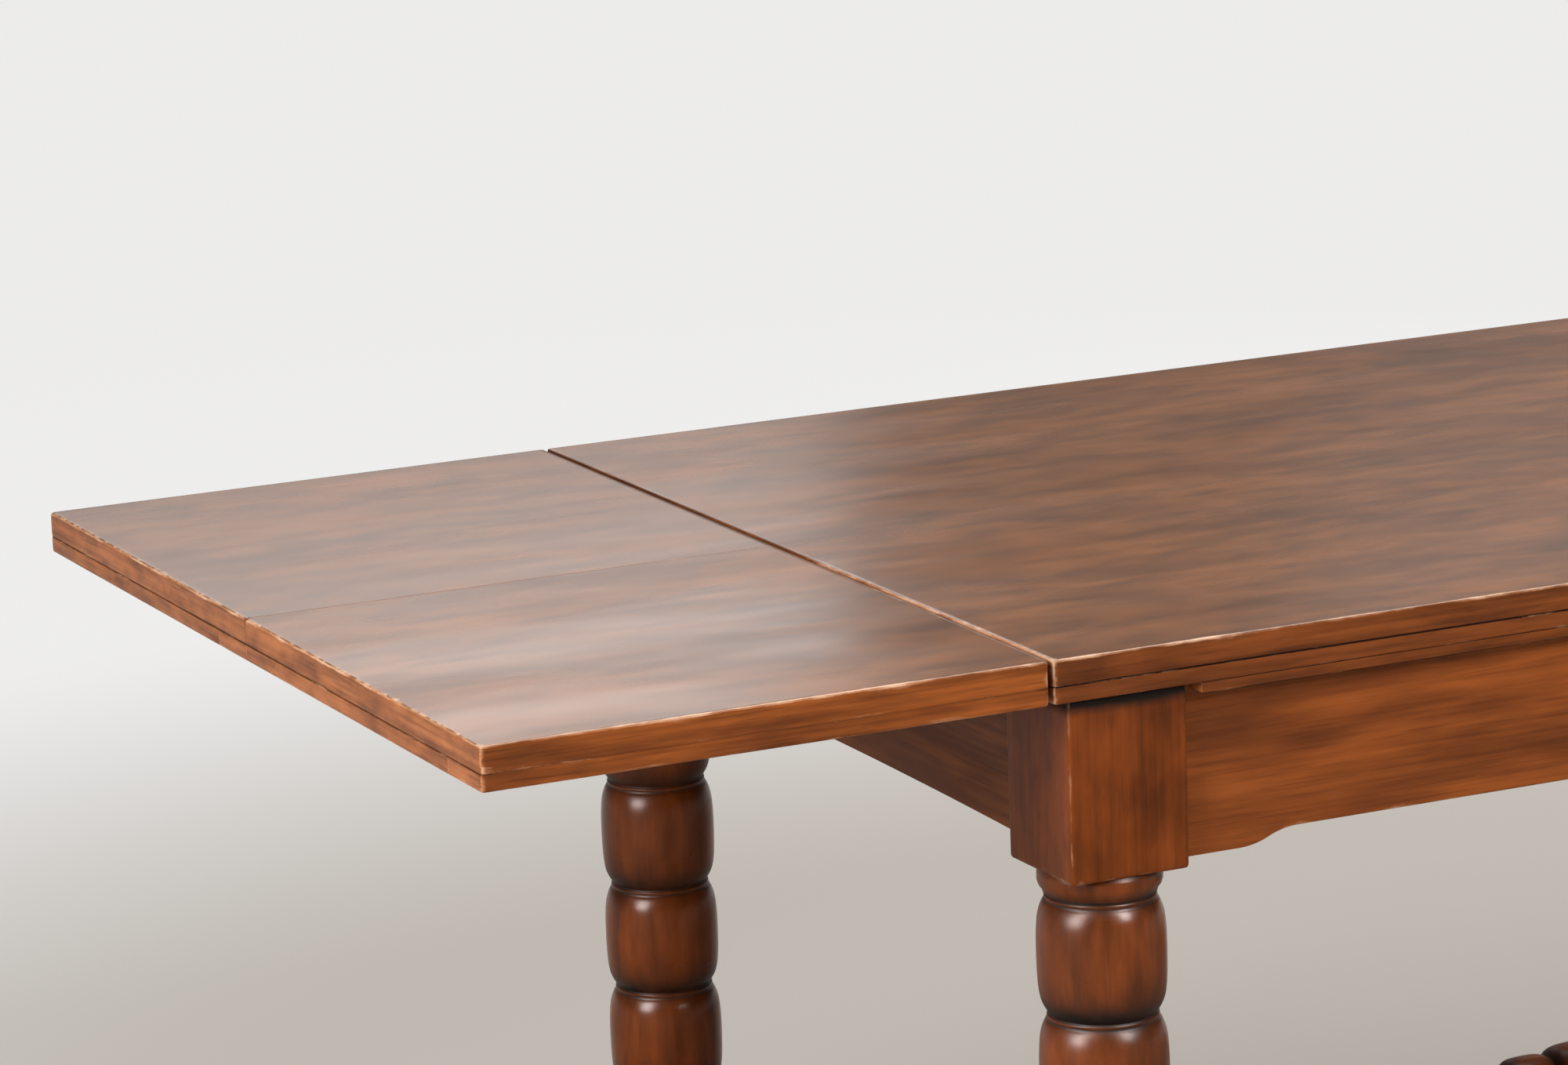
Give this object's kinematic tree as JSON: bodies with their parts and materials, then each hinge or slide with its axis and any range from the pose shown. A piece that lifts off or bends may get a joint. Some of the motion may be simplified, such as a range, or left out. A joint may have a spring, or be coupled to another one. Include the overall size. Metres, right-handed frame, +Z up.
{
  "type": "butterfly leaf table",
  "caption": "Extending dining table with bobbin-turned legs, turned stretchers and folding end leaves that rest on pull-out lopers.",
  "frame": {"origin": "on the floor under the middle of the table", "axes": "+X along the table's length towards the right-hand leaf, +Y across it towards the rear, +Z up"},
  "size_m": [2.863, 0.914, 0.762],
  "materials": {
    "top_wood": "satin brown stain, rubbed pale along the edges",
    "edging_wood": "satin red-brown stain",
    "apron_wood": "satin red-brown stain",
    "turned_wood": "gloss red-brown stain, dark in the grooves",
    "inner_wood": "plain waxed wood",
    "screw_steel": "zinc-plated",
    "hinge_brass": "brushed",
    "glide_plastic": "matt"
  },
  "bodies": {
    "root": {"apron_front": "apron_wood", "apron_rear": "apron_wood", "button_screws": "screw_steel", "centre_rail": "inner_wood", "end_apron_left": "apron_wood", "end_apron_right": "apron_wood", "end_stretcher_left": "turned_wood", "end_stretcher_right": "turned_wood", "foot_glides": "glide_plastic", "leg_front_left": "turned_wood", "leg_front_right": "turned_wood", "leg_rear_left": "turned_wood", "leg_rear_right": "turned_wood", "loper_bearer_left": "inner_wood", "loper_bearer_right": "inner_wood", "stretcher_front": "turned_wood", "stretcher_rear": "turned_wood", "top_board": "top_wood", "top_buttons": "inner_wood", "top_edging_front": "edging_wood", "top_edging_left": "edging_wood", "top_edging_rear": "edging_wood", "top_edging_right": "edging_wood"},
    "left_front_leaf": {"leaf_left_front_board": "top_wood", "leaf_left_front_cleat": "inner_wood", "leaf_left_front_cleat_screws": "screw_steel", "leaf_left_front_end_edgings": "edging_wood", "leaf_left_front_hinge_cups": "hinge_brass", "leaf_left_front_long_edgings": "edging_wood"},
    "left_front_loper": {"loper_left_front": "inner_wood", "loper_peg_left_front": "inner_wood"},
    "left_rear_leaf": {"leaf_left_rear_board": "top_wood", "leaf_left_rear_cleat": "inner_wood", "leaf_left_rear_cleat_screws": "screw_steel", "leaf_left_rear_end_edgings": "edging_wood", "leaf_left_rear_hinge_cups": "hinge_brass", "leaf_left_rear_long_edgings": "edging_wood"},
    "left_rear_loper": {"loper_left_rear": "inner_wood", "loper_peg_left_rear": "inner_wood"},
    "right_front_leaf": {"leaf_right_front_board": "top_wood", "leaf_right_front_cleat": "inner_wood", "leaf_right_front_cleat_screws": "screw_steel", "leaf_right_front_end_edgings": "edging_wood", "leaf_right_front_hinge_cups": "hinge_brass", "leaf_right_front_long_edgings": "edging_wood"},
    "right_front_loper": {"loper_peg_right_front": "inner_wood", "loper_right_front": "inner_wood"},
    "right_rear_leaf": {"leaf_right_rear_board": "top_wood", "leaf_right_rear_cleat": "inner_wood", "leaf_right_rear_cleat_screws": "screw_steel", "leaf_right_rear_end_edgings": "edging_wood", "leaf_right_rear_hinge_cups": "hinge_brass", "leaf_right_rear_long_edgings": "edging_wood"},
    "right_rear_loper": {"loper_peg_right_rear": "inner_wood", "loper_right_rear": "inner_wood"}
  },
  "joints": [
    {"name": "leaf_left_lift", "type": "slide", "parent": "root", "child": "left_front_leaf", "axis": [0, 0, 1], "range_m": [0, 0.15]},
    {"name": "leaf_left_fold", "type": "hinge", "parent": "left_front_leaf", "child": "left_rear_leaf", "pos_m": [-1.2125, 0, 0.7623], "axis": [1, 0, 0], "range_deg": [0, 180]},
    {"name": "loper_left_front_slide", "type": "slide", "parent": "root", "child": "left_front_loper", "axis": [1, 0, 0], "range_m": [0, 0.418]},
    {"name": "loper_left_rear_slide", "type": "slide", "parent": "root", "child": "left_rear_loper", "axis": [1, 0, 0], "range_m": [0, 0.418]},
    {"name": "leaf_right_lift", "type": "slide", "parent": "root", "child": "right_front_leaf", "axis": [0, 0, 1], "range_m": [0, 0.15]},
    {"name": "leaf_right_fold", "type": "hinge", "parent": "right_front_leaf", "child": "right_rear_leaf", "pos_m": [1.2125, 0, 0.7623], "axis": [1, 0, 0], "range_deg": [0, 180]},
    {"name": "loper_right_front_slide", "type": "slide", "parent": "root", "child": "right_front_loper", "axis": [-1, 0, 0], "range_m": [0, 0.418]},
    {"name": "loper_right_rear_slide", "type": "slide", "parent": "root", "child": "right_rear_loper", "axis": [-1, 0, 0], "range_m": [0, 0.418]}
  ]
}
